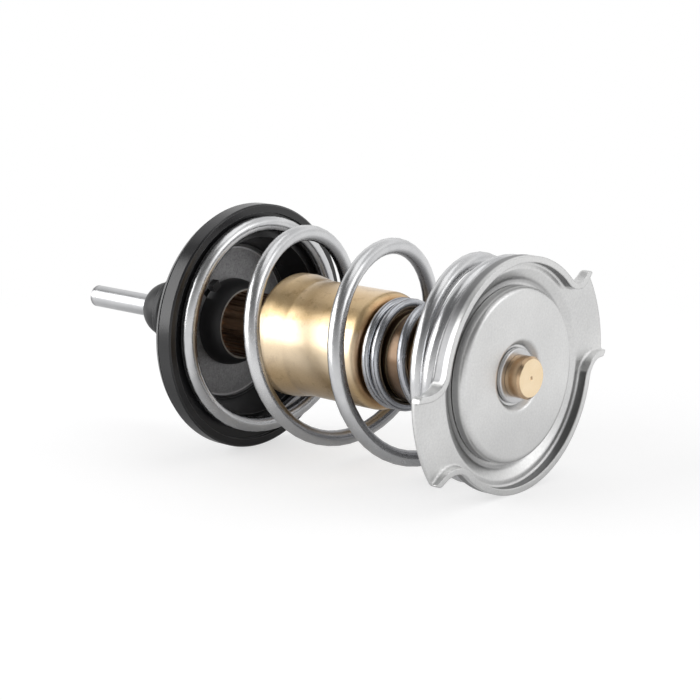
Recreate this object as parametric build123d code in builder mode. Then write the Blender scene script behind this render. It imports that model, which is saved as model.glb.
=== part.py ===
from build123d import *
from math import cos, hypot, radians, sin
import os

# Engine thermostat insert. A wax element pushes a rubber-edged valve open against a
# coil spring, and carries a sprung bypass disc on its tail.
# The element's axis is X, and X = 0 is the plane of the seal's lip, where the valve
# shuts on its housing. +X runs towards the bypass disc, and +Z is up.

# Steel pin that leans on the housing
pin_radius = 2.5
pin_reach = 48.8
pin_inner_end = 9.0
pin_tip_chamfer = 0.7
pin_running_gap = 0.05

# Rubber nose boot round the pin
boot_dome_radius = 6.4
boot_dome_x = -23.1
boot_flange_radius = 8.6
boot_flange_front_x = -20.6
boot_flange_thickness = 2.0
boot_bore_radius = 4.6
boot_edge_fillet = 0.6
rubber_seat_gap = 0.02

# Turned brass guide that carries the valve
guide_nose_length = 5.0
guide_shank_radius = 6.2
neck_radius = 7.4
neck_rib_count = 32
neck_rib_depth = 0.35
neck_rib_width = 0.7
shoulder_radius = 10.2
shoulder_thickness = 1.6
guide_base_thickness = 6.0
throat_radius = 5.2

# Steel valve plate, pressed as a dish
plate_thickness = 1.5
dish_floor_x = -4.0
dish_wall_draft = 2.4
plate_flange_x = 3.0
plate_flange_width = 4.0
plate_hole_radius = 8.4
bleed_notch_angle = 131.0
bleed_notch_reach = 13.6
bleed_notch_width = 2.6

# Rubber seal moulded round the plate's edge
seal_radius = 27.0
seal_front_x = 5.0
seal_rim_width = 1.8
seal_edge_cover = 2.4
seal_edge_chamfer = 0.35
spring_seat_x = 4.1
lip_groove_x = 1.2
lip_groove_width = 0.4
lip_groove_depth = 0.7
lip_step = 0.1
lip_bevel = 0.7
lip_width = 2.4
seal_skin = 0.9
seal_foot_width = 1.4
seal_foot_height = 0.7
seal_foot_step = 0.6

# Rubber hub that seals the plate on the neck
hub_root_radius = 9.64
hub_tip_radius = 7.9
hub_height = 4.7
hub_bulge_height = 2.6
hub_bulge_radius = 9.3
hub_rear_radius = 9.6
hub_rear_thickness = 1.5
hub_tab_angle = 122.0
hub_tab_reach = 11.3
hub_tab_width = 2.2
hub_tab_height = 1.6

# Wax cylinder with its stepped end
cylinder_radius = 12.5
cylinder_start_x = 16.0
cylinder_end_x = 43.7
cylinder_wall = 1.3
cylinder_end_fillet = 1.8
crimp_radius = 13.3
crimp_length = 3.2
crimp_taper = 4.5
crimp_lip_radius = 9.9
crimp_lip_thickness = 1.2
crimp_fillet = 0.8
boss_radius = 9.3
boss_ring_radius = 9.55
boss_ring_start = 3.4
boss_ring_length = 0.8
boss_end_x = 57.0
boss_end_chamfer = 1.2
diaphragm_thickness = 1.4
washer_thickness = 0.8
plug_length = 8.0

# Brass tail stem and its ring
stem_radius = 4.3
stem_tip_x = 79.5
stem_tip_chamfer = 0.5
stem_shoulder_radius = 6.4
stem_shoulder_length = 3.0
stem_socket_depth = 5.0
stem_dimple_radius = 0.45
stem_dimple_depth = 0.4
ring_radius = 5.6
ring_thickness = 0.9
ring_groove_depth = 0.4
ring_groove_play = 0.05
ring_fillet = 0.3

# Bypass disc, a pressed steel cap
disc_rim_play = 1.1
disc_back_x = 73.75
disc_face_x = 76.5
disc_sheet = 1.2
disc_edge_fillet = 1.3
disc_dimple_radius = 7.2
disc_dimple_floor_radius = 6.1
disc_dimple_depth = 1.4
disc_dimple_fillet = 1.0
disc_running_gap = 0.06

# Pressed steel bridge with two bayonet ears
bridge_sheet = 1.3
bridge_face_x = 74.9
bridge_inset = 0.1
bridge_floor_width = 2.7
bridge_slope_width = 2.3
bridge_seat_width = 3.4
bridge_wall_front_x = 77.0
bridge_back_fillet = 0.9
bridge_root_fillet = 0.5
bridge_seat_fillet = 0.6
ear_reach = 30.3
ear_angle = 17.5
ear_half_angle = 19.5
ear_root_share = 0.7
ear_corner_share = 0.19
ear_lip_drop = 1.0

# Main spring: a flat coil on the seal, open coils, and a closed coil under the bridge
main_wire = 3.4
main_land_play = 1.2
main_waist = 0.9
main_start_angle = 285.0
main_flat_turns = 0.84
main_open_turns = 2.84
main_closed_turns = 0.78
main_closed_pitch = 4.6
main_end_turns = 0.28
main_ramp_turns = 0.25

# Bypass spring, from the wax cylinder's shoulder to the disc
bypass_wire = 2.1
bypass_mean_radius = 10.7
bypass_waist = 0
bypass_start_angle = 129.0
bypass_closed_turns = 1.54
bypass_closed_pitch = 2.6
bypass_open_turns = 2.11
bypass_end_turns = 1.4
bypass_ramp_turns = 0.5

# Both springs
spring_seat_gap = 0.05
waist_turns = 0.5
points_per_turn = 16

# Gap between pieces that bear on each other and part when the valve moves
bearing_gap = 0.15

# How near a named place an edge or corner is when it is picked
pick_reach = 0.01

pin_bore = pin_radius + pin_running_gap
lip_radius = seal_radius - lip_step
lip_tip_radius = lip_radius - lip_bevel
lip_inner_radius = lip_tip_radius - lip_width
seal_land_radius = seal_radius - seal_rim_width
plate_flange_radius = seal_radius - seal_edge_cover
dish_wall_radius = plate_flange_radius - plate_flange_width
dish_floor_radius = dish_wall_radius - dish_wall_draft
spring_seat_inner_radius = dish_wall_radius - seal_skin
seal_foot_radius = dish_floor_radius - seal_foot_width
main_end_radius = seal_land_radius - main_land_play - main_wire / 2
bridge_radius = main_end_radius + main_wire / 2 - bridge_inset
bridge_rise_radius = bridge_radius - bridge_floor_width
bridge_seat_radius = bridge_rise_radius - bridge_slope_width
bridge_hole_radius = bridge_seat_radius - bridge_seat_width
disc_radius = bridge_seat_radius - disc_rim_play
ear_root_fillet = ear_root_share * (ear_reach - bridge_radius)
ear_corner_fillet = ear_corner_share * (ear_reach - bridge_radius)
plate_back_x = dish_floor_x - plate_thickness
plate_middle_x = dish_floor_x - plate_thickness / 2
shoulder_x = plate_back_x - hub_rear_thickness
boot_rear_x = boot_flange_front_x + boot_flange_thickness
guide_nose_x = boot_rear_x - guide_nose_length
guide_base_x = cylinder_start_x + crimp_lip_thickness
guide_base_end_x = guide_base_x + guide_base_thickness
plug_end_x = pin_inner_end + washer_thickness + plug_length
cylinder_bore = cylinder_radius - cylinder_wall
diaphragm_end_x = guide_base_end_x + diaphragm_thickness
hub_tip_x = dish_floor_x + hub_height
socket_x = boss_end_x - stem_socket_depth
seat_face_x = disc_back_x - bearing_gap
bridge_back_x = bridge_face_x - bridge_sheet
disc_hub_x = disc_face_x - disc_dimple_depth
ring_x = disc_hub_x + bearing_gap


def turned(points, mode=Mode.ADD):
    """Turns a closed outline of (x, radius) points once round the X axis."""
    with BuildSketch(Plane.XY) as section:
        with BuildLine():
            Polyline(*points, close=True)
        make_face()
    revolve(section.sketch, axis=Axis.X, mode=mode)


def circle_edges(part, radius):
    """The part's full circles of one radius, in order along X."""
    edges = part.edges().filter_by(GeomType.CIRCLE)
    return edges.filter_by(lambda e: abs(e.radius - radius) < pick_reach).sort_by(Axis.X)


# Pin, with a chamfered tip
with BuildPart() as piston_pin:
    with BuildSketch(Plane.YZ.offset(-pin_reach)):
        Circle(pin_radius)
    extrude(amount=pin_reach + pin_inner_end)
    chamfer(piston_pin.edges().group_by(Axis.X)[0], pin_tip_chamfer)
piston_pin.part.label = "piston_pin"

# Hard washer that keeps the plug from creeping past the pin
with BuildPart() as thrust_washer:
    with BuildSketch(Plane.YZ.offset(pin_inner_end)):
        Circle(pin_radius)
    extrude(amount=washer_thickness)
thrust_washer.part.label = "thrust_washer"

# Rubber plug that passes the wax pressure to the pin
with BuildPart() as force_plug:
    with BuildSketch(Plane.YZ.offset(pin_inner_end + washer_thickness)):
        Circle(pin_radius)
    extrude(amount=plug_length)
force_plug.part.label = "force_plug"

# Guide: nose tube, shank, shoulder, ribbed neck and wide base in one turning
with BuildPart() as guide_body:
    turned([
        (guide_nose_x, pin_bore),
        (guide_nose_x, boot_bore_radius),
        (boot_rear_x, boot_bore_radius),
        (boot_rear_x, guide_shank_radius),
        (shoulder_x - shoulder_thickness, guide_shank_radius),
        (shoulder_x - shoulder_thickness, shoulder_radius),
        (shoulder_x, shoulder_radius),
        (shoulder_x, neck_radius),
        (guide_base_x, neck_radius),
        (guide_base_x, cylinder_bore),
        (guide_base_end_x, cylinder_bore),
        (guide_base_end_x, throat_radius),
        (plug_end_x, pin_bore),
    ])
    with BuildSketch(Plane.YZ.offset(hub_tip_x)):
        with PolarLocations(neck_radius, neck_rib_count):
            Rectangle(2 * neck_rib_depth, neck_rib_width)
    extrude(amount=guide_base_x - hub_tip_x, mode=Mode.SUBTRACT)
guide_body.part.label = "guide_body"

# Nose boot: a hollow rubber dome on a flange, whose tip wipes the pin
with BuildPart() as nose_boot:
    boot_seat_radius = boot_bore_radius + rubber_seat_gap
    boot_seat_x = guide_nose_x - rubber_seat_gap
    dome_root_x = boot_flange_front_x
    dome_root_radius = (boot_dome_radius**2 - (dome_root_x - boot_dome_x) ** 2) ** 0.5
    dome_tip_x = boot_dome_x - (boot_dome_radius**2 - pin_bore**2) ** 0.5
    with BuildSketch(Plane.XY):
        with BuildLine():
            ThreePointArc(
                (dome_tip_x, pin_bore),
                (
                    boot_dome_x - boot_dome_radius * cos(radians(45)),
                    boot_dome_radius * sin(radians(45)),
                ),
                (dome_root_x, dome_root_radius),
            )
            Polyline(
                (dome_root_x, dome_root_radius),
                (boot_flange_front_x, boot_flange_radius),
                (boot_rear_x, boot_flange_radius),
                (boot_rear_x, boot_seat_radius),
                (boot_seat_x, boot_seat_radius),
                (boot_seat_x, pin_bore),
                (dome_tip_x, pin_bore),
            )
        make_face()
    revolve(axis=Axis.X)
    fillet(circle_edges(nose_boot, boot_flange_radius), boot_edge_fillet)
nose_boot.part.label = "nose_boot"

# The plate's half section, which the seal's mould also closes on
plate_section = [
    (plate_back_x, plate_hole_radius),
    (dish_floor_x, plate_hole_radius),
    (dish_floor_x, dish_floor_radius),
    (plate_flange_x, dish_wall_radius),
    (plate_flange_x, plate_flange_radius),
    (plate_flange_x - plate_thickness, plate_flange_radius),
    (plate_flange_x - plate_thickness, dish_wall_radius + plate_thickness),
    (plate_back_x, dish_floor_radius + plate_thickness),
]

# Valve plate, with the small bleed notch beside its hub
with BuildPart() as valve_plate:
    turned(plate_section)
    with BuildSketch(Plane.YZ.offset(plate_back_x)):
        with PolarLocations(0, 1, start_angle=bleed_notch_angle):
            Rectangle(
                bleed_notch_reach, bleed_notch_width, align=(Align.MIN, Align.CENTER)
            )
    extrude(amount=plate_thickness, mode=Mode.SUBTRACT)
valve_plate.part.label = "valve_plate"

# Seal: spring seat and front land, outer band, lip, and a skin on both faces of the
# plate's wall
with BuildPart() as valve_seal:
    wall_back_radius = dish_wall_radius + plate_thickness
    floor_back_radius = dish_floor_radius + plate_thickness
    skin_x = plate_flange_x - plate_thickness - seal_skin
    turned([
        (dish_floor_x, seal_foot_radius),
        (dish_floor_x + seal_foot_height, seal_foot_radius),
        (dish_floor_x + seal_foot_height, seal_foot_radius + seal_foot_step),
        (spring_seat_x, spring_seat_inner_radius),
        (spring_seat_x, seal_land_radius),
        (seal_front_x, seal_land_radius),
        (seal_front_x, seal_radius - seal_edge_chamfer),
        (seal_front_x - seal_edge_chamfer, seal_radius),
        (lip_groove_x + lip_groove_width, seal_radius),
        (lip_groove_x + lip_groove_width, seal_radius - lip_groove_depth),
        (lip_groove_x, seal_radius - lip_groove_depth),
        (lip_groove_x, lip_radius),
        (0, lip_tip_radius),
        (0, lip_inner_radius),
        (skin_x, lip_inner_radius - seal_skin / 2),
        (skin_x, wall_back_radius + seal_skin),
        (plate_middle_x, floor_back_radius + seal_skin),
        (plate_middle_x, seal_foot_radius),
    ])
    turned(plate_section, mode=Mode.SUBTRACT)
valve_seal.part.label = "valve_seal"

# Hub: a rubber sleeve with a bulged front, gripped in the plate's hole, and a small
# tab beside the bleed notch
with BuildPart() as hub_seal:
    hub_bore = neck_radius + rubber_seat_gap
    hub_waist = plate_hole_radius - rubber_seat_gap
    with BuildSketch(Plane.XY):
        with BuildLine():
            ThreePointArc(
                (dish_floor_x, hub_root_radius),
                (dish_floor_x + hub_bulge_height, hub_bulge_radius),
                (hub_tip_x, hub_tip_radius),
            )
            Polyline(
                (hub_tip_x, hub_tip_radius),
                (hub_tip_x, hub_bore),
                (shoulder_x, hub_bore),
                (shoulder_x, hub_rear_radius),
                (plate_back_x, hub_rear_radius),
                (plate_back_x, hub_waist),
                (dish_floor_x, hub_waist),
                (dish_floor_x, hub_root_radius),
            )
        make_face()
    revolve(axis=Axis.X)
    with BuildSketch(Plane.YZ.offset(dish_floor_x)):
        tab_length = hub_tab_reach - plate_hole_radius
        tab_middle = plate_hole_radius + tab_length / 2
        with PolarLocations(tab_middle, 1, start_angle=hub_tab_angle):
            Rectangle(tab_length, hub_tab_width)
    extrude(amount=hub_tab_height)
hub_seal.part.label = "hub_seal"

# Wax cylinder: crimped over the guide's base, rounded at its far shoulder, and
# stepped down to a hollow boss that takes the stem
with BuildPart() as wax_cylinder:
    cavity_end_x = cylinder_end_x - cylinder_wall
    boss_bore = boss_radius - cylinder_wall
    boss_floor_x = socket_x - cylinder_wall
    boss_ring_x = cylinder_end_x + boss_ring_start
    turned([
        (cylinder_start_x, crimp_lip_radius),
        (cylinder_start_x, crimp_radius),
        (cylinder_start_x + crimp_length, crimp_radius),
        (cylinder_start_x + crimp_length + crimp_taper, cylinder_radius),
        (cylinder_end_x, cylinder_radius),
        (cylinder_end_x, boss_radius),
        (boss_ring_x, boss_radius),
        (boss_ring_x, boss_ring_radius),
        (boss_ring_x + boss_ring_length, boss_ring_radius),
        (boss_ring_x + boss_ring_length, boss_radius),
        (boss_end_x, boss_radius),
        (boss_end_x, stem_radius),
        (socket_x, stem_radius),
        (socket_x, 0),
        (boss_floor_x, 0),
        (boss_floor_x, boss_bore),
        (cavity_end_x, boss_bore),
        (cavity_end_x, cylinder_bore),
        (guide_base_x, cylinder_bore),
        (guide_base_x, crimp_lip_radius),
    ])
    fillet(circle_edges(wax_cylinder, cylinder_radius)[-1], cylinder_end_fillet)
    fillet(circle_edges(wax_cylinder, crimp_radius)[0], crimp_fillet)
    chamfer(circle_edges(wax_cylinder, boss_radius)[-1], boss_end_chamfer)
wax_cylinder.part.label = "wax_cylinder"

# Rubber diaphragm, clamped under the guide's base, whose cone fills the throat
with BuildPart() as diaphragm:
    turned([
        (plug_end_x, 0),
        (plug_end_x, pin_radius),
        (guide_base_end_x, throat_radius),
        (guide_base_end_x, cylinder_bore),
        (diaphragm_end_x, cylinder_bore),
        (diaphragm_end_x, 0),
    ])
diaphragm.part.label = "diaphragm"

# Wax that fills the cylinder and its boss
with BuildPart() as wax_charge:
    turned([
        (diaphragm_end_x, 0),
        (diaphragm_end_x, cylinder_bore),
        (cavity_end_x, cylinder_bore),
        (cavity_end_x, boss_bore),
        (boss_floor_x, boss_bore),
        (boss_floor_x, 0),
    ])
wax_charge.part.label = "wax_charge"

# Stem: fixed in the boss, with a groove for its ring and a centre mark in its tip
with BuildPart() as bypass_stem:
    groove_radius = stem_radius - ring_groove_depth
    turned([
        (socket_x, 0),
        (socket_x, stem_radius),
        (boss_end_x, stem_radius),
        (boss_end_x, stem_shoulder_radius),
        (boss_end_x + stem_shoulder_length, stem_shoulder_radius),
        (boss_end_x + stem_shoulder_length, stem_radius),
        (ring_x, stem_radius),
        (ring_x, groove_radius),
        (ring_x + ring_thickness, groove_radius),
        (ring_x + ring_thickness, stem_radius),
        (stem_tip_x, stem_radius),
        (stem_tip_x, stem_dimple_radius),
        (stem_tip_x - stem_dimple_depth, 0),
    ])
    chamfer(circle_edges(bypass_stem, stem_radius)[-1], stem_tip_chamfer)
bypass_stem.part.label = "bypass_stem"

# Ring that holds the bypass disc on the stem
with BuildPart() as stem_ring:
    ring_bore = groove_radius + ring_groove_play
    turned([
        (ring_x + ring_groove_play, ring_bore),
        (ring_x + ring_groove_play, ring_radius),
        (ring_x + ring_thickness - ring_groove_play, ring_radius),
        (ring_x + ring_thickness - ring_groove_play, ring_bore),
    ])
    fillet(circle_edges(stem_ring, ring_radius)[-1], ring_fillet)
stem_ring.part.label = "stem_ring"

# Bypass disc: a shallow cap with a rounded edge and a dimple round its hole
with BuildPart() as bypass_disc:
    disc_bore = stem_radius + disc_running_gap
    turned([
        (disc_back_x, disc_radius),
        (disc_face_x, disc_radius),
        (disc_face_x, disc_dimple_radius),
        (disc_hub_x, disc_dimple_floor_radius),
        (disc_hub_x, disc_bore),
        (disc_hub_x - disc_sheet, disc_bore),
        (disc_hub_x - disc_sheet, disc_dimple_floor_radius),
        (disc_face_x - disc_sheet, disc_dimple_radius),
        (disc_face_x - disc_sheet, disc_radius - disc_sheet),
        (disc_back_x, disc_radius - disc_sheet),
    ])
    fillet(circle_edges(bypass_disc, disc_radius)[-1], disc_edge_fillet)
    fillet(circle_edges(bypass_disc, disc_dimple_radius)[-1], disc_dimple_fillet)
bypass_disc.part.label = "bypass_disc"

def bridge_outline(reach):
    """A round rim with two opposite ears."""
    with BuildSketch() as outline:
        Circle(bridge_radius)
        for middle in (ear_angle, ear_angle + 180):
            with BuildLine():
                end = CenterArc((0, 0), reach, middle - ear_half_angle, 2 * ear_half_angle)
                Polyline(end @ 1, (0, 0), end @ 0)
            make_face()
        corners = outline.vertices()
        roots = corners.filter_by(lambda v: hypot(v.X, v.Y) < bridge_radius + pick_reach)
        fillet(roots, ear_root_fillet)
        corners = outline.vertices()
        tips = corners.filter_by(lambda v: hypot(v.X, v.Y) > reach - pick_reach)
        fillet(tips, ear_corner_fillet)
    return outline.sketch


# Bridge: flat sheet with an upturned wall that runs out along the ears' sides, and a
# sunk seat with a large hole in the middle
with BuildPart() as bridge:
    sheet_outline = bridge_outline(ear_reach)
    open_ended = bridge_outline(ear_reach + 2 * bridge_sheet)
    with BuildSketch(Plane.YZ.offset(bridge_back_x)):
        add(sheet_outline)
    extrude(amount=bridge_sheet)
    with BuildSketch(Plane.YZ.offset(bridge_face_x)):
        add(open_ended)
        offset(open_ended, amount=-bridge_sheet, mode=Mode.SUBTRACT)
        add(sheet_outline, mode=Mode.INTERSECT)
    extrude(amount=bridge_wall_front_x - bridge_face_x)
    back_edges = bridge.edges().filter_by_position(
        Axis.X, bridge_back_x - pick_reach, bridge_back_x + pick_reach
    )
    fillet(back_edges, bridge_back_fillet)
    root_edges = bridge.edges().filter_by_position(
        Axis.X, bridge_face_x - pick_reach, bridge_face_x + pick_reach
    )
    lip_roots = root_edges.filter_by(
        lambda e: hypot(e.center().Y, e.center().Z) < ear_reach - bridge_sheet / 2
    )
    fillet(lip_roots, bridge_root_fillet)
    turned(
        [
            (bridge_wall_front_x, bridge_radius),
            (bridge_wall_front_x - ear_lip_drop, ear_reach),
            (bridge_wall_front_x - ear_lip_drop, 2 * ear_reach),
            (bridge_wall_front_x + bridge_sheet, 2 * ear_reach),
            (bridge_wall_front_x + bridge_sheet, bridge_radius),
        ],
        mode=Mode.SUBTRACT,
    )
    with BuildSketch(Plane.YZ.offset(bridge_back_x)):
        Circle(bridge_rise_radius)
    extrude(amount=bridge_sheet, mode=Mode.SUBTRACT)
    turned([
        (seat_face_x - bridge_sheet, bridge_hole_radius),
        (seat_face_x, bridge_hole_radius),
        (seat_face_x, bridge_seat_radius),
        (bridge_face_x, bridge_rise_radius),
        (bridge_back_x, bridge_rise_radius),
        (seat_face_x - bridge_sheet, bridge_seat_radius),
    ])
    fillet(circle_edges(bridge, bridge_seat_radius), bridge_seat_fillet)
    fillet(circle_edges(bridge, bridge_rise_radius), bridge_seat_fillet)
bridge.part.label = "bridge"


def turns_after(turn, change, ramp):
    """Turns since a change of pitch that is spread over a ramp."""
    start = change - ramp / 2
    if turn <= start:
        return 0
    if turn >= start + ramp:
        return turn - change
    return (turn - start) ** 2 / (2 * ramp)


def waist_share(turn, start, end):
    """How far a turn is into the open coils: 0 at their ends, 1 past the waist ramp."""
    share = min(turn - start, end - turn) / waist_turns
    share = min(max(share, 0), 1)
    return share * share * (3 - 2 * share)


def coil_points(first_x, last_x, mean_radius, waist, start_angle, sections, ramp):
    """Centre line of a coil spring. A section is its turns and their pitch, and the
    one whose pitch is None fills the length that the others leave. The waist is how
    much smaller those open coils are than the ends."""
    total_turns = sum(turns for turns, pitch in sections)
    open_index = [pitch for turns, pitch in sections].index(None)
    open_turns = sections[open_index][0]
    open_start = sum(turns for turns, pitch in sections[:open_index])
    closed_rise = sum(turns * pitch for turns, pitch in sections if pitch is not None)
    open_pitch = (last_x - first_x - closed_rise) / open_turns
    pitches = [open_pitch if pitch is None else pitch for turns, pitch in sections]
    steps = round(total_turns * points_per_turn)
    points = []
    for step in range(steps + 1):
        turn = total_turns * step / steps
        x = first_x + pitches[0] * turn
        change = 0
        for section, pitch, next_pitch in zip(sections, pitches, pitches[1:]):
            change += section[0]
            x += (next_pitch - pitch) * turns_after(turn, change, ramp)
        share = waist_share(turn, open_start, open_start + open_turns)
        radius = mean_radius - waist * share
        a = radians(start_angle + 360 * turn)
        points.append((x, radius * cos(a), radius * sin(a)))
    return points


# Main spring
with BuildPart() as main_spring:
    with BuildLine() as main_line:
        Spline(
            *coil_points(
                spring_seat_x + spring_seat_gap + main_wire / 2,
                bridge_back_x - spring_seat_gap - main_wire / 2,
                main_end_radius,
                main_waist,
                main_start_angle,
                [
                    (main_flat_turns, 0),
                    (main_open_turns, None),
                    (main_closed_turns, main_closed_pitch),
                    (main_end_turns, 0),
                ],
                main_ramp_turns,
            )
        )
    with BuildSketch(Plane(origin=main_line.line @ 0, z_dir=main_line.line % 0)):
        Circle(main_wire / 2)
    sweep(path=main_line.line, is_frenet=True)
main_spring.part.label = "main_spring"

# Bypass spring
with BuildPart() as bypass_spring:
    with BuildLine() as bypass_line:
        Spline(
            *coil_points(
                cylinder_end_x + spring_seat_gap + bypass_wire / 2,
                disc_face_x - disc_sheet - bearing_gap - bypass_wire / 2,
                bypass_mean_radius,
                bypass_waist,
                bypass_start_angle,
                [
                    (bypass_closed_turns, bypass_closed_pitch),
                    (bypass_open_turns, None),
                    (bypass_end_turns, bypass_closed_pitch),
                ],
                bypass_ramp_turns,
            )
        )
    with BuildSketch(Plane(origin=bypass_line.line @ 0, z_dir=bypass_line.line % 0)):
        Circle(bypass_wire / 2)
    sweep(path=bypass_line.line, is_frenet=True)
bypass_spring.part.label = "bypass_spring"

pieces = [
    piston_pin,
    thrust_washer,
    force_plug,
    guide_body,
    nose_boot,
    valve_plate,
    valve_seal,
    hub_seal,
    wax_cylinder,
    diaphragm,
    wax_charge,
    bypass_stem,
    stem_ring,
    bypass_disc,
    bridge,
    main_spring,
    bypass_spring,
]
os.makedirs("parts", exist_ok=True)
for piece in pieces:
    export_step(piece.part, f"parts/{piece.part.label}.step")
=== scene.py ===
import math

import bpy
from mathutils import Matrix, Vector


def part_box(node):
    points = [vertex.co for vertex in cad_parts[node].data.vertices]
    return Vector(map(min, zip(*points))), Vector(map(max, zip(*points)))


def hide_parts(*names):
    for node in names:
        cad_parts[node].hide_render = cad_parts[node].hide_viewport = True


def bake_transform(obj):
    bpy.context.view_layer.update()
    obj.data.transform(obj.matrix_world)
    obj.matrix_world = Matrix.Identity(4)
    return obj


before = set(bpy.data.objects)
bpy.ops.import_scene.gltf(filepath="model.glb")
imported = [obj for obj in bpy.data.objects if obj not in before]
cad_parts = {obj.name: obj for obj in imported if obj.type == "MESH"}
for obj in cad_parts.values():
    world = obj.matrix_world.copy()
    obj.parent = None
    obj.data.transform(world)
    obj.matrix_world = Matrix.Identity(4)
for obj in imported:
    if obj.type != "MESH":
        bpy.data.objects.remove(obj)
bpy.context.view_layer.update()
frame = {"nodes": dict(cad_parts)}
nodes = frame["nodes"]

MM = 0.001
bpy.ops.object.select_all(action="DESELECT")


# Small helpers

def colour(red, green, blue):
    """A screen colour, 0 to 255, as the linear colour that a shader takes."""
    def linear(value):
        value /= 255
        return value / 12.92 if value < 0.04045 else ((value + 0.055) / 1.055) ** 2.4
    return (linear(red), linear(green), linear(blue), 1.0)


class Signal:
    """A socket's value. Plain arithmetic on it adds Math nodes."""

    def __init__(self, nodes, socket):
        self.nodes = nodes
        self.socket = socket

    def _math(self, operation, *values, clamp=False):
        settings = {"operation": operation, "use_clamp": clamp}
        return self.nodes.add("ShaderNodeMath", settings, dict(enumerate(values)))

    def __add__(self, other):
        return self._math("ADD", self, other)

    def __radd__(self, other):
        return self._math("ADD", other, self)

    def __sub__(self, other):
        return self._math("SUBTRACT", self, other)

    def __rsub__(self, other):
        return self._math("SUBTRACT", other, self)

    def __mul__(self, other):
        return self._math("MULTIPLY", self, other)

    def __rmul__(self, other):
        return self._math("MULTIPLY", other, self)

    def __truediv__(self, other):
        return self._math("DIVIDE", self, other)

    def __pow__(self, other):
        return self._math("POWER", self, other)

    def capped(self):
        """The value kept between 0 and 1."""
        return self._math("ADD", self, 0.0, clamp=True)

    def step(self, edge, soft):
        """0 below the edge and 1 above it, with a soft change."""
        settings = {"interpolation_type": "SMOOTHSTEP"}
        values = {"Value": self, "From Min": edge - soft / 2, "From Max": edge + soft / 2}
        return self.nodes.add("ShaderNodeMapRange", settings, values)

    def band(self, low, high, soft):
        """1 between low and high and 0 outside, with soft edges."""
        return self.step(low, soft) - self.step(high, soft)


class NodeTree:
    """A cleared node tree, and the one way to add nodes to it."""

    def __init__(self, tree):
        self.tree = tree
        self.tree.nodes.clear()

    def add(self, kind, settings=None, values=None, output=0):
        """Adds a node: first its settings, then the values or links of its sockets. Gives
        one of its outputs, or the node itself when output is None."""
        node = self.tree.nodes.new(kind)
        for key, value in (settings or {}).items():
            setattr(node, key, value)
        for key, value in (values or {}).items():
            if isinstance(value, Signal):
                self.tree.links.new(value.socket, node.inputs[key])
            else:
                node.inputs[key].default_value = value
        return node if output is None else Signal(self, node.outputs[output])

    def outputs(self, kind, *names, values=None):
        """Adds a node and gives several of its outputs."""
        node = self.add(kind, values=values, output=None)
        return [Signal(self, node.outputs[name]) for name in names]


class Finish(NodeTree):
    """One material, made from nodes. Positions come from Object coordinates, in metres."""

    def __init__(self, name):
        self.material = bpy.data.materials.new(name)
        self.material.use_nodes = True
        super().__init__(self.material.node_tree)
        self.place = self.add("ShaderNodeTexCoord", output="Object")
        split = {"Vector": self.place}
        self.x, self.y, self.z = self.outputs("ShaderNodeSeparateXYZ", *"XYZ", values=split)
        self.radius = (self.y * self.y + self.z * self.z) ** 0.5

    def noise(self, scale, detail=3.0, roughness=0.5, vector=None):
        """Noise, with its scale in features per metre."""
        values = {
            "Vector": vector or self.place,
            "Scale": scale,
            "Detail": detail,
            "Roughness": roughness,
        }
        return self.add("ShaderNodeTexNoise", {}, values, "Fac")

    def mapped(self, scale, rotation=(0, 0, 0)):
        """The positions stretched and turned, for noise that runs in one direction."""
        values = {"Vector": self.place, "Scale": scale, "Rotation": rotation}
        return self.add("ShaderNodeMapping", {}, values)

    def turned_marks(self, count):
        """Fine rings left by a lathe tool: noise along the axis and the radius."""
        values = {"W": (self.x + self.radius) * count, "Detail": 4.0, "Scale": 1.0}
        return self.add("ShaderNodeTexNoise", {"noise_dimensions": "1D"}, values, "Fac")

    def mix(self, share, first, second):
        """Mixes two colours."""
        settings = {"data_type": "RGBA", "clamp_factor": True}
        return self.add("ShaderNodeMix", settings, {0: share, 6: first, 7: second}, 2)

    def bump(self, height, distance, strength, edge=0.0):
        """A bump as high as the height times a distance in millimetres, on edges that look
        rounded by a radius in millimetres."""
        values = {"Height": height, "Distance": distance * MM, "Strength": strength}
        if edge:
            values["Normal"] = self.add("ShaderNodeBevel", {"samples": 4}, {"Radius": edge * MM})
        return self.add("ShaderNodeBump", {}, values)

    def edge_mask(self, reach):
        """1 on outer and inner edges, within a reach in millimetres, and 0 elsewhere."""
        gain = 2.0
        rounded = self.add("ShaderNodeBevel", {"samples": 6}, {"Radius": reach * MM})
        flat = self.add("ShaderNodeNewGeometry", output="Normal")
        settings = {"operation": "DOT_PRODUCT"}
        likeness = self.add("ShaderNodeVectorMath", settings, {0: rounded, 1: flat}, "Value")
        return ((1 - likeness) * gain).capped()

    def finished(self, shader):
        """Closes the material with a shader."""
        self.add("ShaderNodeOutputMaterial", values={"Surface": shader}, output=None)
        return self.material

    def principled(self, **values):
        """Closes the material with a Principled BSDF, its sockets named as arguments."""
        sockets = {key.replace("_", " ").title(): value for key, value in values.items()}
        return self.finished(self.add("ShaderNodeBsdfPrincipled", values=sockets))


# Places where a finish changes, in metres: along X, up along Z or out from the axis

PIN_SHADED_END_X = -0.0477
SLEEVE_FACE_X = 0.0003
DISH_FLOOR_X = -0.0047
SEAL_FOOT_RADII = (0.0164, 0.0168)
NECK_X = -0.0045
CYLINDER_SHOULDER_X = 0.0433
CYLINDER_BOSS_X = 0.0446
BOSS_RINGS_X = ((0.0471, 0.0479), (0.0495, 0.0499))
HIGHLIGHT_TOP_Z = 0.0075
HIGHLIGHT_TOP_RAGGED = 0.003
HIGHLIGHT_FOOT_Z = -0.0045
STEM_TIP_X = 0.07942

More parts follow.
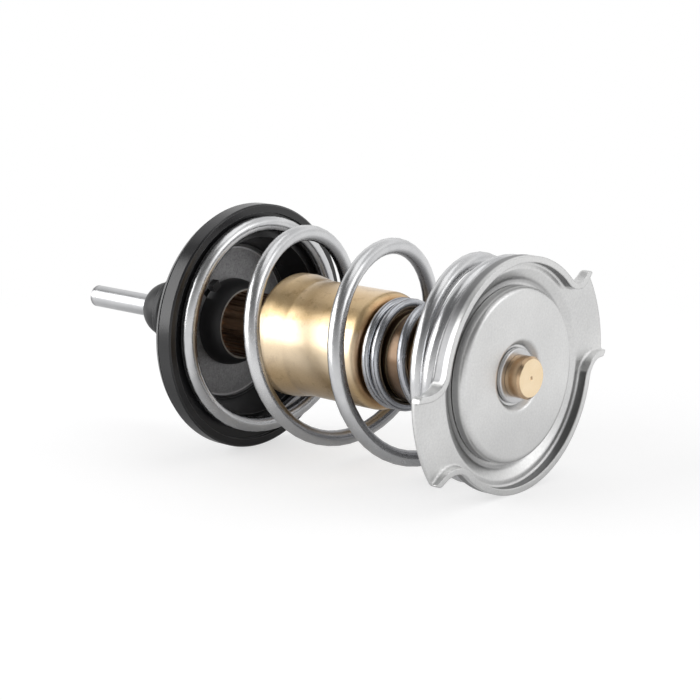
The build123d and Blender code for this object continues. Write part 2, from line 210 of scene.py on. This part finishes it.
BRIDGE_WALL_INNER_RADIUS = 0.02245
BRIDGE_WALL_MIDDLE_RADIUS = 0.0228
BRIDGE_WALL_X = (0.0752, 0.0768)
BRIDGE_CORNER_RADII = (0.0183, 0.0194)
BRIDGE_CORNER_X = 0.0742
BRIDGE_OUTSIDE_RADII = (0.0234, 0.0243)
BRIDGE_OUTSIDE_X = 0.0757
EAR_TURN = math.radians(17.5)
EAR_COSINE_SQUARED = 0.85
DISC_WALL_RADIUS = 0.0172
DISC_EDGE_X = 0.0752


# Finishes

def polished_pin_steel():
    """Ground and polished steel, with fine marks round the pin and painted shade on its rear
    end.
    """
    f = Finish("polished_pin_steel")
    marks = f.turned_marks(9000)
    cloud = f.noise(180, 2)
    shaded_rear_end = 1 - f.x.step(PIN_SHADED_END_X, soft=0.0014)
    tint = f.mix(cloud, colour(186, 187, 189), colour(212, 212, 213))
    # painted shade: the pin's rear end mixed towards a darker grey
    tint = f.mix(shaded_rear_end, tint, colour(126, 126, 128))
    return f.principled(
        base_color=tint,
        metallic=1.0,
        roughness=0.24 + marks * 0.14,
        normal=f.bump(marks, 0.004, 0.5),
    )


def black_rubber(name, base, sheen, roughness, edge, worn_edge_and_highlight=0.5, mouth=None):
    """Moulded rubber: a faint skin, dusty patches, and edges lightened by wear and a painted
    highlight. A mouth is the radius inside which a sleeve's end face is painted pale."""
    f = Finish(name)
    skin = f.noise(2600, 3, 0.6)
    patches = f.noise(120, 4, 0.6)
    tint = f.mix(patches, base, sheen)
    # edges mixed towards light grey: partly wear, partly a painted highlight
    tint = f.mix(f.edge_mask(0.16) * worn_edge_and_highlight, tint, colour(150, 150, 152))
    if mouth:
        end_face = f.x.step(SLEEVE_FACE_X, soft=0.0002)
        pale_mouth_ring = (1 - f.radius.step(mouth, soft=0.0002)) * end_face
        tint = f.mix(pale_mouth_ring * (0.6 + patches * 0.4), tint, colour(206, 203, 196))
    return f.principled(
        base_color=tint,
        roughness=roughness + patches * 0.14 - skin * 0.05,
        normal=f.bump(skin + patches, 0.012, 0.5, edge),
    )


def dish_steel():
    """Dark coated sheet steel: grainy, with faint rings from pressing, a painted highlight line
    where the seal's foot ends and painted highlights along its edges."""
    f = Finish("dark_dish_steel")
    grain = f.noise(3200, 2)
    speckle = f.noise(2600, 4, 0.75)
    rings = f.turned_marks(1500)
    cloud = f.noise(90, 4, 0.6)
    mottle = (cloud + speckle * 2 - 1).capped()
    front = f.x.step(DISH_FLOOR_X, soft=0.0004)
    foot_highlight = f.radius.band(*SEAL_FOOT_RADII, soft=0.0002) * front
    tint = f.mix(mottle, colour(118, 118, 120), colour(186, 186, 188))
    # painted highlight: a light line where the seal's foot ends
    tint = f.mix(foot_highlight * 0.7, tint, colour(232, 232, 234))
    # painted highlights: edges mixed towards a light grey
    tint = f.mix(f.edge_mask(0.3) * 0.7, tint, colour(214, 214, 216))
    return f.principled(
        base_color=tint,
        metallic=0.65,
        roughness=0.36 + cloud * 0.14 + grain * 0.06,
        normal=f.bump(grain * 1.6 + rings, 0.008, 0.7, 0.12),
    )


def neck_brass():
    """Brass of the guide, darker in the neck, with streaks along its ribs there: painted shade
    and painted reflections.
    """
    f = Finish("guide_brass_shaded_neck")
    streaks = f.noise(420, 4, 0.6, f.mapped((0.12, 1, 1)))
    cloud = f.noise(160, 3)
    neck = f.x.step(NECK_X, soft=0.001)
    # painted shade and reflections: dark and light streaks along the neck
    painted_neck_streaks = f.mix(streaks.step(0.5, soft=0.4), colour(92, 70, 56), colour(182, 148, 120))
    plain = f.mix(cloud, colour(150, 122, 94), colour(182, 152, 118))
    return f.principled(
        base_color=f.mix(neck, plain, painted_neck_streaks),
        metallic=1.0,
        roughness=0.36 + cloud * 0.15 + streaks * 0.1,
        normal=f.bump(streaks, 0.02, 0.5, 0.3),
    )


def cylinder_brass():
    """Drawn brass: bright and satin along the wall, with a painted highlight band on its sides
    up to a ragged line, browned where it is rolled in, browned and darkened by painted shade
    on its boss, and two pale rings on the boss painted as edge highlights."""
    f = Finish("satin_cylinder_brass")
    rings = f.turned_marks(3600)
    cloud = f.noise(70, 4, 0.6, f.mapped((0.55, 1, 1)))
    waves = f.noise(190, 2, 0.4)
    stains = f.noise(420, 5, 0.65)
    grain = f.noise(3600, 2)

    patches = (cloud + grain * 0.5 - 0.25).capped()
    bright = f.mix(patches, colour(200, 162, 110), colour(248, 220, 170))
    bright = f.mix(stains.step(0.62, soft=0.16) * 0.45, bright, colour(176, 138, 88))

    # painted highlight: a paler band on the sides, below a ragged top line
    below_highlight_top = 1 - (f.z + stains * HIGHLIGHT_TOP_RAGGED).step(HIGHLIGHT_TOP_Z, soft=0.0016)
    painted_highlight_band = below_highlight_top * f.z.step(HIGHLIGHT_FOOT_Z, soft=0.006)
    bright = f.mix(painted_highlight_band * 0.36, bright, colour(255, 246, 230))

    shoulder = f.x.step(CYLINDER_SHOULDER_X, soft=0.0012)
    boss = f.x.step(CYLINDER_BOSS_X, soft=0.0012)
    browned = f.mix(shoulder * (0.5 + stains * 0.5), bright, colour(168, 116, 66))
    # on the boss: browning, and painted shade from the coils around it
    browned = f.mix(boss * (0.75 + stains * 0.25), browned, colour(110, 86, 62))

    # painted highlights: two pale lines at the boss's edges
    near_ring, far_ring = (f.x.band(*ring, soft=0.0002) for ring in BOSS_RINGS_X)
    tint = f.mix((near_ring + far_ring) * 0.85, browned, colour(240, 220, 180))
    return f.principled(
        base_color=tint,
        metallic=1.0,
        roughness=0.31 + cloud * 0.06,
        coat_weight=0.7 + cloud * 0.3,
        coat_roughness=0.22,
        normal=f.bump(waves * 2.6 + stains * 1.5 + grain * 2.4 + rings, 0.01, 1.0, 1.0),
    )


def stem_brass():
    """Pale turned brass, browner along the side than on the faced tip."""
    f = Finish("pale_stem_brass")
    rings = f.turned_marks(5200)
    cloud = f.noise(300, 3)
    tip = f.x.step(STEM_TIP_X, soft=0.0001)
    side = f.mix(cloud, colour(158, 128, 96), colour(228, 200, 166))
    face = f.mix(cloud, colour(236, 210, 170), colour(248, 228, 196))
    return f.principled(
        base_color=f.mix(tip, side, face),
        metallic=1.0,
        roughness=0.13 + rings * 0.12,
        normal=f.bump(rings, 0.006, 0.6, 0.1),
    )


def pressed_steel(name, low, high, marks, edge, painted_shade=None):
    """Pressed sheet steel: satin, with a fine even grain, faint rub marks and as many turned
    marks as asked for. Painted shade gives where shade is painted darker, from the
    finish's own coordinates."""
    f = Finish(name)
    grain = f.noise(2400, 2, 0.6)
    cloud = f.noise(55, 4, 0.55)
    rubs = f.noise(900, 3, 0.6, f.mapped((1, 1, 0.08), (0.5, 0, 0)))
    rings = f.turned_marks(1800)
    speckle = f.noise(2000, 4, 0.7)
    tint = f.mix((cloud + speckle * 0.9 - 0.45).capped(), low, high)
    if painted_shade:
        # painted shade: the masked places mixed towards a dark grey
        tint = f.mix(painted_shade(f) * (0.55 + cloud * 0.45), tint, colour(90, 90, 92))
    return f.principled(
        base_color=tint,
        metallic=1.0,
        roughness=0.28 + cloud * 0.1 + grain * 0.1,
        normal=f.bump(grain * 1.6 + rubs * 0.3 + rings * marks, 0.008, 0.8, edge),
    )


def bridge_painted_shade(f):
    """Painted shade on the inside of the bridge's wall, on its outside beside the spring's last
    coil, and in the corner at the foot of its seat."""
    wall_start_x, wall_end_x = BRIDGE_WALL_X
    past_inner = f.radius.step(BRIDGE_WALL_INNER_RADIUS, soft=0.0003)
    before_middle = 1 - f.radius.step(BRIDGE_WALL_MIDDLE_RADIUS, soft=0.0002)
    along_wall = f.x.step(wall_start_x, soft=0.0004) * (1 - f.x.step(wall_end_x, soft=0.0002))
    wall = past_inner * before_middle * along_wall

    below_corner = 1 - f.x.step(BRIDGE_CORNER_X, soft=0.0004)
    corner = f.radius.band(*BRIDGE_CORNER_RADII, soft=0.0006) * below_corner

    across = f.y * math.cos(EAR_TURN) + f.z * math.sin(EAR_TURN)
    ears = (across * across / (f.radius * f.radius)).step(EAR_COSINE_SQUARED, soft=0.04)
    below_rim = 1 - f.x.step(BRIDGE_OUTSIDE_X, soft=0.0012)
    outside = f.radius.band(*BRIDGE_OUTSIDE_RADII, soft=0.0004) * below_rim * (1 - ears)
    return (wall + corner * 0.5 + outside * 1.8).capped()


def disc_painted_shade(f):
    """Painted shade on the disc's side wall, below its rounded edge."""
    below_edge = 1 - f.x.step(DISC_EDGE_X, soft=0.0006)
    return f.radius.step(DISC_WALL_RADIUS, soft=0.0006) * below_edge * 0.6


def spring_wire(name, low, high, inside, inner_shade_colour):
    """Bright drawn wire, with scratches along it, a few duller spots and painted shade on the
    inside of the coils, up to a radius."""
    f = Finish(name)
    scratches = f.noise(1500, 4, 0.6, f.mapped((2.2, 0.4, 0.4)))
    cloud = f.noise(140, 4, 0.6)
    # painted shade: the inner side of the coils mixed towards a dark colour
    skin = (1 - f.radius.step(inside, soft=0.0014)) * (0.55 + cloud * 0.45)
    tint = f.mix(cloud, low, high)
    return f.principled(
        base_color=f.mix(skin, tint, inner_shade_colour),
        metallic=1.0,
        roughness=0.17 + cloud * 0.08 + scratches * 0.1,
        normal=f.bump(scratches, 0.006, 0.7),
    )


def pale_wax():
    """Waxy filling of the cylinder."""
    f = Finish("pale_wax")
    cloud = f.noise(200, 3)
    return f.principled(
        base_color=f.mix(cloud, colour(214, 200, 160), colour(232, 220, 188)),
        roughness=0.5 + cloud * 0.1,
        normal=f.bump(cloud, 0.02, 0.4),
    )


def washer_plastic():
    """Hard white plastic of the small washer."""
    f = Finish("washer_plastic")
    grain = f.noise(900, 3)
    return f.principled(
        base_color=f.mix(grain, colour(206, 204, 196), colour(224, 222, 216)),
        roughness=0.4 + grain * 0.1,
        normal=f.bump(grain, 0.01, 0.4),
    )


seal_rubber = black_rubber(
    "seal_rubber", colour(16, 16, 17), colour(40, 40, 42), roughness=0.2, edge=0.16, worn_edge_and_highlight=1.0
)
boot_rubber = black_rubber(
    "boot_rubber", colour(20, 20, 21), colour(38, 38, 40), roughness=0.42, edge=0.2
)
hub_rubber = black_rubber(
    "hub_rubber", colour(34, 34, 36), colour(56, 56, 58), roughness=0.46, edge=0.2, mouth=0.0078
)
inner_rubber = black_rubber(
    "inner_rubber", colour(26, 26, 27), colour(44, 44, 46), roughness=0.5, edge=0.0
)
bridge_steel = pressed_steel(
    "bridge_steel", colour(196, 196, 196), colour(238, 238, 237),
    marks=0.0, edge=0.45, painted_shade=bridge_painted_shade
)
disc_steel = pressed_steel(
    "disc_steel", colour(200, 200, 200), colour(238, 238, 237),
    marks=0.2, edge=0.2, painted_shade=disc_painted_shade
)
ring_steel = pressed_steel(
    "ring_steel", colour(190, 190, 192), colour(220, 220, 220), marks=0.0, edge=0.08
)
main_wire = spring_wire(
    "main_wire", colour(182, 183, 186), colour(224, 224, 224),
    inside=0.0208, inner_shade_colour=colour(104, 104, 108)
)
bypass_wire = spring_wire(
    "bypass_wire", colour(138, 142, 150), colour(214, 215, 218),
    inside=0.0105, inner_shade_colour=colour(54, 58, 66)
)

finishes = {
    "piston_pin": polished_pin_steel(),
    "thrust_washer": washer_plastic(),
    "force_plug": inner_rubber,
    "guide_body": neck_brass(),
    "nose_boot": boot_rubber,
    "valve_plate": dish_steel(),
    "valve_seal": seal_rubber,
    "hub_seal": hub_rubber,
    "wax_cylinder": cylinder_brass(),
    "diaphragm": inner_rubber,
    "wax_charge": pale_wax(),
    "bypass_stem": stem_brass(),
    "stem_ring": ring_steel,
    "bypass_disc": disc_steel,
    "bridge": bridge_steel,
    "main_spring": main_wire,
    "bypass_spring": bypass_wire,
}
for name, material in finishes.items():
    for slot in nodes[name].material_slots:
        slot.material = material


# Springs

WAIST_FADE_IN_TURNS = 0.5
WAIST_FADE_OUT_TURNS = 0.4
FULL_WIDTH_END_TURNS = 0.34


def turns_after(turn, change, ramp):
    """Turns since a change of pitch that is spread over a ramp."""
    start = change - ramp / 2
    if turn <= start:
        return 0
    if turn >= start + ramp:
        return turn - change
    return (turn - start) ** 2 / (2 * ramp)


def coil_line(first_x, last_x, radius, waist, bow, start_angle, sections, ramp, per_turn):
    """Points along a spring's wire, in millimetres. A section is its turns and their
    pitch, and the one whose pitch is None fills the length that the others leave. The
    waist is how far the coils draw in after the first section and before the last
    turns. The bow lifts the coils off the axis: its height, its slope and its curve."""
    total = sum(turns for turns, pitch in sections)
    open_turns = sum(turns for turns, pitch in sections if pitch is None)
    closed_rise = sum(turns * pitch for turns, pitch in sections if pitch is not None)
    open_pitch = (last_x - first_x - closed_rise) / open_turns
    pitches = [open_pitch if pitch is None else pitch for turns, pitch in sections]
    first_turns = sections[0][0]
    height, slope, curve = bow
    steps = round(total * per_turn)
    points = []
    for step in range(steps + 1):
        turn = total * step / steps
        x = first_x + pitches[0] * turn
        change = 0
        for section, pitch, following in zip(sections, pitches, pitches[1:]):
            change += section[0]
            x += (following - pitch) * turns_after(turn, change, ramp)

        fade_in = (turn - first_turns) / WAIST_FADE_IN_TURNS
        fade_out = (total - FULL_WIDTH_END_TURNS - turn) / WAIST_FADE_OUT_TURNS
        share = min(max(min(fade_in, fade_out), 0), 1)
        reach = radius - waist * share * share * (3 - 2 * share)

        along = step / steps
        lift = height + slope * along + curve * along * along
        angle = math.radians(start_angle + 360 * turn)
        points.append((x, reach * math.cos(angle), lift + reach * math.sin(angle)))
    return points


def wound_spring(name, wire, line, finish):
    """A round wire bent along a line of points, as a closed mesh with smooth walls and
    broken edges at its two cut ends."""
    curve = bpy.data.curves.new(name, "CURVE")
    curve.dimensions = "3D"
    spline = curve.splines.new("NURBS")
    spline.points.add(len(line) - 1)
    for point, place in zip(spline.points, line):
        point.co = (*(MM * value for value in place), 1.0)
    spline.order_u = 4
    spline.use_endpoint_u = True
    spline.resolution_u = 1
    curve.bevel_depth = wire / 2 * MM
    curve.bevel_resolution = 6
    curve.use_fill_caps = True
    spring = bpy.data.objects.new(name, curve)
    bpy.context.collection.objects.link(spring)
    bpy.context.view_layer.objects.active = spring
    spring.select_set(True)
    bpy.ops.object.convert(target="MESH")
    spring = bpy.context.view_layer.objects.active
    bpy.ops.object.mode_set(mode="EDIT")
    bpy.ops.mesh.select_all(action="SELECT")
    bpy.ops.mesh.remove_doubles(threshold=0.01 * MM)
    bpy.ops.mesh.normals_make_consistent(inside=False)
    bpy.ops.object.mode_set(mode="OBJECT")
    bpy.ops.object.shade_smooth_by_angle(angle=math.radians(40))
    spring.data.materials.clear()
    spring.data.materials.append(finish)
    bpy.ops.object.select_all(action="DESELECT")
    return spring


def spring_span(node, wire):
    """Where the wire's middle starts and ends along X, read from the CAD spring."""
    low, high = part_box(node)
    return low.x / MM + wire / 2, high.x / MM - wire / 2


MAIN_WIRE = 3.4
first_x, last_x = spring_span("main_spring", MAIN_WIRE)
main_line = coil_line(
    first_x, last_x, radius=22.3, waist=0.9, bow=(0.6, 0.9, -1.95), start_angle=285,
    sections=[(0.87, 0), (0.6, 19), (0.3, 29), (1.85, None), (0.84, 4.6), (0.28, 0)],
    ramp=0.25, per_turn=48
)
main_coil = wound_spring("main_coil", MAIN_WIRE, main_line, main_wire)
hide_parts("main_spring")
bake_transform(main_coil)

BYPASS_WIRE = 2.1
first_x, last_x = spring_span("bypass_spring", BYPASS_WIRE)
bypass_line = coil_line(
    first_x, last_x, radius=10.7, waist=0, bow=(0, 0, 0), start_angle=-15,
    sections=[(0.4, 1.35), (1.54, 2.5), (2.11, None), (1.4, 2.6)],
    ramp=0.4, per_turn=40
)
bypass_coil = wound_spring("bypass_coil", BYPASS_WIRE, bypass_line, bypass_wire)
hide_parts("bypass_spring")
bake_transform(bypass_coil)


# Floor, light and camera

FLOOR_SIZE = 6
SEAL_RIM_X = 4.6
BRIDGE_RIM_X = 76.9
AIM = (0.02, 0, 0)
SENSOR_WIDTH = 36
FOCAL_LENGTH_PIXELS = 2000
PICTURE_WIDTH_PIXELS = 700


def floor_finish():
    """White sweep. It takes the object's shadow, and far from the object the camera and
    the metal see it at full white. The metal sees it brighter on the camera's side."""
    f = Finish("white_sweep")
    rays = ("Is Camera Ray", "Is Glossy Ray", "Is Transmission Ray")
    camera, glossy, through = f.outputs("ShaderNodeLightPath", *rays)
    mirrored = glossy + through
    front = (0 - f.y).step(0.042, soft=0.05)
    glow_level = camera * 0.63 + mirrored * (0.15 + front * 0.45)
    matt = f.add("ShaderNodeBsdfDiffuse", {}, {"Color": (0.44, 0.44, 0.443, 1)})
    glow = f.add("ShaderNodeEmission", {}, {"Strength": glow_level})
    near = f.add("ShaderNodeAddShader", {}, {0: matt, 1: glow})
    white = f.add("ShaderNodeEmission", {}, {"Color": (1, 1, 1, 1), "Strength": 1.0})
    reach = (f.x * f.x + f.y * f.y) ** 0.5
    far = reach.step(0.16, soft=0.18) * camera + reach.step(0.09, soft=0.1) * mirrored
    return f.finished(f.add("ShaderNodeMixShader", {}, {0: far, 1: near, 2: white}))


def lay_floor():
    """A wide floor that the valve's rim and the bridge both stand on."""
    seal_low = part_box("valve_seal")[0]
    bridge_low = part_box("bridge")[0]
    rim = Vector((SEAL_RIM_X * MM, 0, seal_low.z))
    wall = Vector((BRIDGE_RIM_X * MM, 0, bridge_low.z))
    tilt = math.atan2(wall.z - rim.z, wall.x - rim.x)
    bpy.ops.mesh.primitive_plane_add(size=FLOOR_SIZE, location=rim, rotation=(0, -tilt, 0))
    floor = bpy.context.object
    floor.name = "floor"
    floor.data.materials.append(floor_finish())


def add_lamp(name, place, width, height, power):
    """A soft rectangular lamp that faces the object."""
    bpy.ops.object.light_add(type="AREA", location=place)
    lamp = bpy.context.object
    lamp.name = name
    lamp.data.shape = "RECTANGLE"
    lamp.data.size = width
    lamp.data.size_y = height
    lamp.data.energy = power
    facing = Vector(AIM) - Vector(place)
    lamp.rotation_euler = facing.to_track_quat("-Z", "Y").to_euler()


def light_room():
    """The room behind the lamps: white to the camera, and to reflections a white sweep
    and a pale back wall under a darker ceiling."""
    world = bpy.data.worlds.new("studio")
    bpy.context.scene.world = world
    world.use_nodes = True
    room = NodeTree(world.node_tree)
    direction = {"Vector": room.add("ShaderNodeTexCoord", output="Generated")}
    y, z = room.outputs("ShaderNodeSeparateXYZ", *"YZ", values=direction)
    room_light = 1 - z.step(0.2, soft=0.34) * 0.5 - z.step(0.54, soft=0.34) * 0.34
    behind = y.step(-0.04, soft=0.14)
    wall_height = z.step(0.3, soft=0.3) * (1 - z.step(0.9, soft=0.16))
    level = room_light + behind * wall_height * 0.62
    camera = room.add("ShaderNodeLightPath", output="Is Camera Ray")
    strength = level + camera * (1 - level)
    lit = {"Color": (1, 1, 1, 1), "Strength": strength}
    background = room.add("ShaderNodeBackground", {}, lit)
    room.add("ShaderNodeOutputWorld", values={"Surface": background}, output=None)


def place_camera():
    """The photograph's own viewpoint."""
    right = Vector((0.7473, 0.6645, 0.0))
    down = Vector((0.1447, -0.1627, -0.9760))
    forward = Vector((-0.6486, 0.7293, -0.2178))
    place = (0.30646, -0.30887, 0.09087)
    camera_data = bpy.data.cameras.new("camera")
    camera = bpy.data.objects.new("camera", camera_data)
    bpy.context.collection.objects.link(camera)
    turn = Matrix((right, -down, -forward)).transposed()
    camera.matrix_world = Matrix.Translation(place) @ turn.to_4x4()
    camera_data.sensor_width = SENSOR_WIDTH
    camera_data.lens = FOCAL_LENGTH_PIXELS / PICTURE_WIDTH_PIXELS * SENSOR_WIDTH
    camera_data.clip_start = 0.01
    camera_data.clip_end = 20
    bpy.context.scene.camera = camera


lay_floor()
add_lamp("left_softbox", (-0.49, -0.59, 0.3), width=0.8, height=0.68, power=5.1)
add_lamp("top_softbox", (0.1, 0.15, 0.9), width=0.7, height=0.5, power=1.3)
add_lamp("right_softbox", (0.75, 0.35, 0.5), width=0.5, height=0.4, power=0.8)
light_room()
place_camera()
bpy.context.scene.view_settings.view_transform = "Standard"
